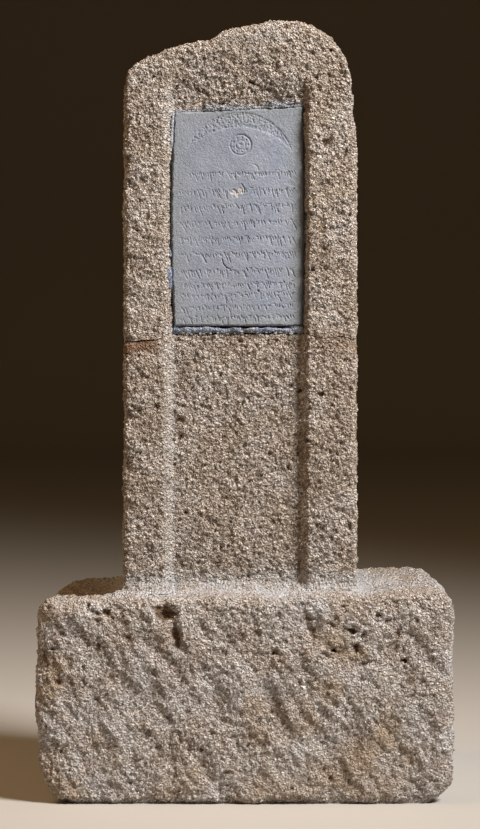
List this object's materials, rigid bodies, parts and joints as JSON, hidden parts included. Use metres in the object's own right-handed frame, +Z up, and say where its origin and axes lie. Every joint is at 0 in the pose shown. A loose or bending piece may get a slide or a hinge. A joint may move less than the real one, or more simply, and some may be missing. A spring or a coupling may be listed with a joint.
{
  "type": "votive cippus",
  "caption": "Free-standing votive cippus: a broken and mended stone shaft with an inset engraved plaque, bedded in mortar on a rough stone block.",
  "frame": {"origin": "middle of the block's underside, on the ground", "axes": "+Z up, the front with the plaque faces -Y, +X to the right of someone who looks at the front"},
  "size_m": [0.534, 0.36, 1.0034],
  "materials": {
    "block_stone": "rough, coarse-grained",
    "shaft_stone": "rough, coarse-grained, darker in its pits",
    "pale_mortar": "matte",
    "ochre_mortar": "matte",
    "grey_mortar": "matte",
    "grey_slate": "smooth, with a faint sheen"
  },
  "bodies": {
    "root": {"base_block": "block_stone", "foot_mortar": "pale_mortar", "lower_shaft": "shaft_stone", "mend_mortar": "ochre_mortar", "upper_shaft": "shaft_stone", "plaque_bedding": "grey_mortar", "plaque": "grey_slate"}
  },
  "joints": []
}
